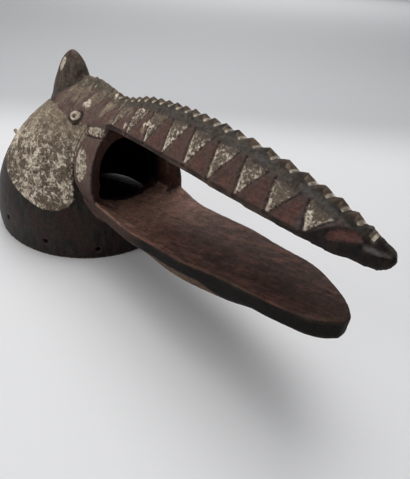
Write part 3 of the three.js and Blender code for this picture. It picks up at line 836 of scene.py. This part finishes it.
# how much of a second earth shows: what it follows, from, to, most
share = {}
for name, source, low, high, most in (
        ("grain", noise["grain"], 0.4, 0.6, 1),
        ("broad", noise["broad"], 0.38, 0.62, 1),
        ("warm", noise["broad"], 0.56, 0.44, 0.7),
        ("streak", noise["streak"], 0.42, 0.62, 0.7),
        ("pores", noise["grain"], 0.45, 0.7, 0.35),
        ("cloud", noise["cloud"], 0.42, 0.62, 0.7),
        ("dab", dabs, 0.85, 1.01, 1),
        ("dabFull", dabs, 0.83, 1.0, 0.85),
        ("fleck", flecks, 0.82, 0.95, 0.92),
        ("mottle", noise["cloud"], 0.34, 0.66, 1),
        ("speck", noise["fleck"], 0.34, 0.66, 1),
        ("fibre", noise["grain"], 0.3, 0.7, 1),
        ("sootPatch", noise["cloud"], 0.46, 0.6, 0.6),
        ("towardBrow", read["ahead"], 170, 95, 0.8),
        ("toothFleck", noise["fleck"], 0.52, 0.64, 0.6),
        ("peak", read["crest"], 3.5, 7, 0.7),
        # the paddle's top pales toward its root: partly a paler wood, partly painted light that lifts the shade under
        # the upper beak
        ("root", read["ahead"], 250, 130, 0.75),
        ("strand", noise["grain"], 0.5, 0.62, 0.4),
        ("redder", read["ahead"], 130, 320, 1),
        ("tip", read["ahead"], 190, 330, 0.78),
        ("crown", read["height"], 122, 150, 0.72),
        ("lowCheek", read["height"], 112, 86, 0.6),
        ("strokeDark", noise["brush"], 0.48, 0.66, 0.5),
        ("strokeRed", noise["brush"], 0.5, 0.34, 0.4),
        ("farSide", read["across"], -24, 16, 0.7)):
    share[name] = addNode(tree, "ShaderNodeMapRange", {0: source, 1: low, 2: high, 4: most})

# grounds: an earth, and others that show through it or lie on it, by share and tone
ground = {}
for name, first, others in (
        ("helmet", "soot", (("streak", "sootGrey"), ("warm", "sootWarm"), ("sootPatch", "charred"))),
        ("horn", "horn", (("streak", "sootGrey"), ("cloud", "sootWarm"))),
        ("muzzle", "mauveEarth", (("redder", "redEarth"), ("pores", "brownWoodDeep"), ("cloud", "throat"),
                                  ("lowCheek", "sootWarm"))),
        ("crest", "greyCrest", (("cloud", "soot"), ("streak", "ochre"), ("peak", "soot"),
                                ("towardBrow", "oliveCrest"))),
        ("paddle", "brownWood", (("grain", "brownWoodDeep"), ("warm", "throat"), ("farSide", "mauveOil"),
                                 ("tip", "sootWarm"), ("root", "rootWoodAndLight"), ("strokeRed", "redWood"),
                                 ("strokeDark", "oiled"), ("strand", "brownWoodDeep"))),
        ("triangle", "oliveGround", (("cloud", "ochre"), ("fleck", "chalk"))),
        ("nose", "black", (("cloud", "sootWarm"), ("sootPatch", "black"))),
        ("noseRed", "noseRed", (("cloud", "throat"),)),
        ("chalk", "chalkGround", (("dab", "chalk"), ("crown", "ochreLight"))),
        ("almond", "chalkGround", (("dabFull", "chalk"),)),
        ("tooth", "ochre", (("mottle", "oliveGround"), ("toothFleck", "ochreLight")))):
    colour = tone[first]
    for amount, other in others:
        colour = addNode(tree, "ShaderNodeMix", {0: share[amount], 6: colour, 7: tone[other]}, 2, data_type="RGBA")
    ground[name] = colour

# each paint lies over the last: what it follows, its ragged edge in mm, from, to, most, paint, roughness
colour = ground["helmet"]
rough = 0.5
cover = {}
for name, source, ragged, low, high, most, paint, roughness in (
        ("muzzle", "muzzle", 0.5, 0.0, 1.2, 1, ground["muzzle"], 0.6),
        ("paddleSide", "paddle", 0, -1, 1, 1, tone["charred"], 0.7),
        ("rootSide", "root", 1.5, 0, 3, 0.8, ground["muzzle"], 0.6),
        ("paddleUnder", "paddleUnder", 1.5, 0, 2, 0.5, tone["wornWood"], 0.65),
        ("paddleTop", "paddleTop", 0, 0, 1.5, 1, ground["paddle"], 0.48),
        ("redHeart", "redHeart", 8.0, 1.5, 6.5, 0.5, tone["redHeart"], 0.6),
        ("browTriangle", "browTriangle", 7.0, 0.5, 3.0, 0.4, tone["ochreLight"], 0.8),
        ("noseGrey", "noseGrey", 3.0, -1.0, 2.0, 0.9, tone["greyMauve"], 0.65),
        ("triangle", "triangle", 3.2, -0.4, 1.4, 1, ground["triangle"], 0.8),
        ("shoulder", "shoulder", 7.0, -5.0, -1.0, 0.6, tone["greyMauve"], 0.65),
        ("crest", "crest", 4.0, -1.5, 1.5, 1, ground["crest"], 0.65),
        ("toothFace", "toothFace", 0.8, 0.2, 1.2, 0.8, ground["tooth"], 0.8),
        ("toothFoot", "toothFoot", 2.4, 1.9, 1.2, 0.88, tone["chalk"], 0.9),
        ("ochreDabs", "ochreDabs", 8.0, -1.2, 1.2, 0.8, tone["ochreLight"], 0.9),
        ("whiteDabs", "whiteDabs", 6.0, -0.6, 0.6, 0.95, tone["chalk"], 0.9),
        ("chalk", "chalk", 3.0, -0.4, 0.6, 1, ground["chalk"], 0.9),
        ("almond", "almond", 2.0, -0.3, 0.6, 1, ground["almond"], 0.9),
        ("horn", "horn", 1.5, -1, 1, 1, ground["horn"], 0.5),
        # painted highlight: a pale streak down the horn's front edge
        ("hornGlint", "hornGlint", 1.0, -0.3, 0.4, 0.85, tone["chalk"], 0.8),
        ("nose", "nose", 1.2, -0.8, 0.8, 0.95, ground["nose"], 0.6),
        ("noseRed", "noseRed", 4.0, -1.0, 1.6, 0.85, ground["noseRed"], 0.6),
        # painted sheen: the nose cap's upward face is lighter grey
        ("noseCapSheen", "noseCapSheen", 1.0, -1.0, 1.0, 0.45, tone["greyCrest"], 0.45),
        ("lip", "lip", 1.0, -0.6, 0.6, 0.9, tone["lip"], 0.5),
        ("seam", "seam", 0.5, 1.5, 0.6, 0.45, tone["black"], 0.8),
        ("mouth", "mouth", 0.8, -0.4, 0.8, 0.85, tone["throat"], 0.6),
        ("mouthEdge", "mouthEdge", 1.0, 2.2, 1.0, 0.7, tone["black"], 0.6),
        ("throat", "inside", 2.0, 0.5, 5, 0.9, tone["throat"], 0.7),
        # painted shade: deeper into the mouth, and all through the helmet's hollow, the surface turns black
        ("inside", "inside", 0, 12, 44, 1, tone["black"], 0.9),
        # painted shade: the tie holes are black inside
        ("hole", "hole", 0.6, 4.2, 3.2, 1, tone["black"], 0.8),
        # painted shadow: a dark ring round the eye's boss
        ("eyeShade", "eye", 0.8, 10.5, 8.2, 0.75, tone["soot"], 0.7),
        ("ring", "eye", 3.6, 6.4, 5.2, 0.9, tone["chalk"], 0.9),
        ("pupil", "eye", 1.6, 4.0, 3.2, 0.9, tone["mauveEarth"], 0.6)):
    edge = addNode(tree, "ShaderNodeMath", {0: noise["fleck"], 1: ragged, 2: read[source]}, operation="MULTIPLY_ADD")
    cover[name] = addNode(tree, "ShaderNodeMapRange", {0: edge, 1: low + ragged / 2, 2: high + ragged / 2, 4: most})
    colour = addNode(tree, "ShaderNodeMix", {0: cover[name], 6: colour, 7: paint}, 2, data_type="RGBA")
    rough = addNode(tree, "ShaderNodeMix", {0: cover[name], 2: rough, 3: roughness}, 0)

# the cut lines of the bands are dark
low, high, most = wear["cutLine"]
fromCut = addNode(tree, "ShaderNodeMath", {0: read["triangle"]}, operation="ABSOLUTE")
fromCut = addNode(tree, "ShaderNodeMath", {
    0: noise["fleck"], 1: wear["cutRagged"], 2: fromCut}, operation="MULTIPLY_ADD")
inCut = addNode(tree, "ShaderNodeMapRange", {0: fromCut, 1: low, 2: high, 4: most})
colour = addNode(tree, "ShaderNodeMix", {0: inCut, 6: colour, 7: tone["black"]}, 2, data_type="RGBA")

# years of handling leave it mottled, and the fibres show through
for name, amount in (("mottle", 0.3), ("speck", 0.3), ("fibre", 0.22)):
    colour = addNode(tree, "ShaderNodeMix", {0: amount, 6: colour, 7: share[name]}, 2,
                     data_type="RGBA", blend_type="OVERLAY")

# worn edges show bare wood, though not on the nose and less on the paddle, and hollows are painted darker
low, high, most = wear["bareEdge"]
worn = addNode(tree, "ShaderNodeMapRange", {0: read["bulge"], 1: low, 2: high, 4: most})
bare = addNode(tree, "ShaderNodeMath", {0: 1.0, 1: cover["nose"]}, operation="SUBTRACT")
onWood = addNode(tree, "ShaderNodeMapRange", {0: read["paddle"], 1: -1, 2: 1, 3: 1.0, 4: wear["bareOnPaddle"]})
bare = addNode(tree, "ShaderNodeMath", {0: bare, 1: onWood}, operation="MULTIPLY")
for part in (share["broad"], bare):
    worn = addNode(tree, "ShaderNodeMath", {0: worn, 1: part}, operation="MULTIPLY")
colour = addNode(tree, "ShaderNodeMix", {0: worn, 6: colour, 7: tone["wornWood"]}, 2, data_type="RGBA")
low, high, most = wear["hollowDark"]
hollowDark = addNode(tree, "ShaderNodeMapRange", {0: read["bulge"], 1: low, 2: high, 4: most})
colour = addNode(tree, "ShaderNodeMix", {0: hollowDark, 6: colour, 7: tone["black"]}, 2, data_type="RGBA")

# grit, fibres and the crust of the chalk stand up by about half a millimetre together
crust = addNode(tree, "ShaderNodeMath", {0: share["dab"], 1: cover["chalk"]}, operation="MULTIPLY")
relief = 0.0
for source, much in (
        (noise["grit"], wear["gritBump"]), (noise["grain"], wear["grainBump"]), (crust, wear["crustBump"])):
    relief = addNode(tree, "ShaderNodeMath", {0: source, 1: much, 2: relief}, operation="MULTIPLY_ADD")
bump = addNode(tree, "ShaderNodeBump", {"Height": relief, "Strength": wear["bump"], "Distance": 0.001})
surface = addNode(tree, "ShaderNodeBsdfPrincipled", {
    "Base Color": colour, "Roughness": rough, "Normal": bump, "Specular IOR Level": wear["specular"]})
addNode(tree, "ShaderNodeOutputMaterial", {"Surface": surface})
mesh.materials.clear()
mesh.materials.append(wood)
print("finish ready")

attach(carved, "root")
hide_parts("mask")
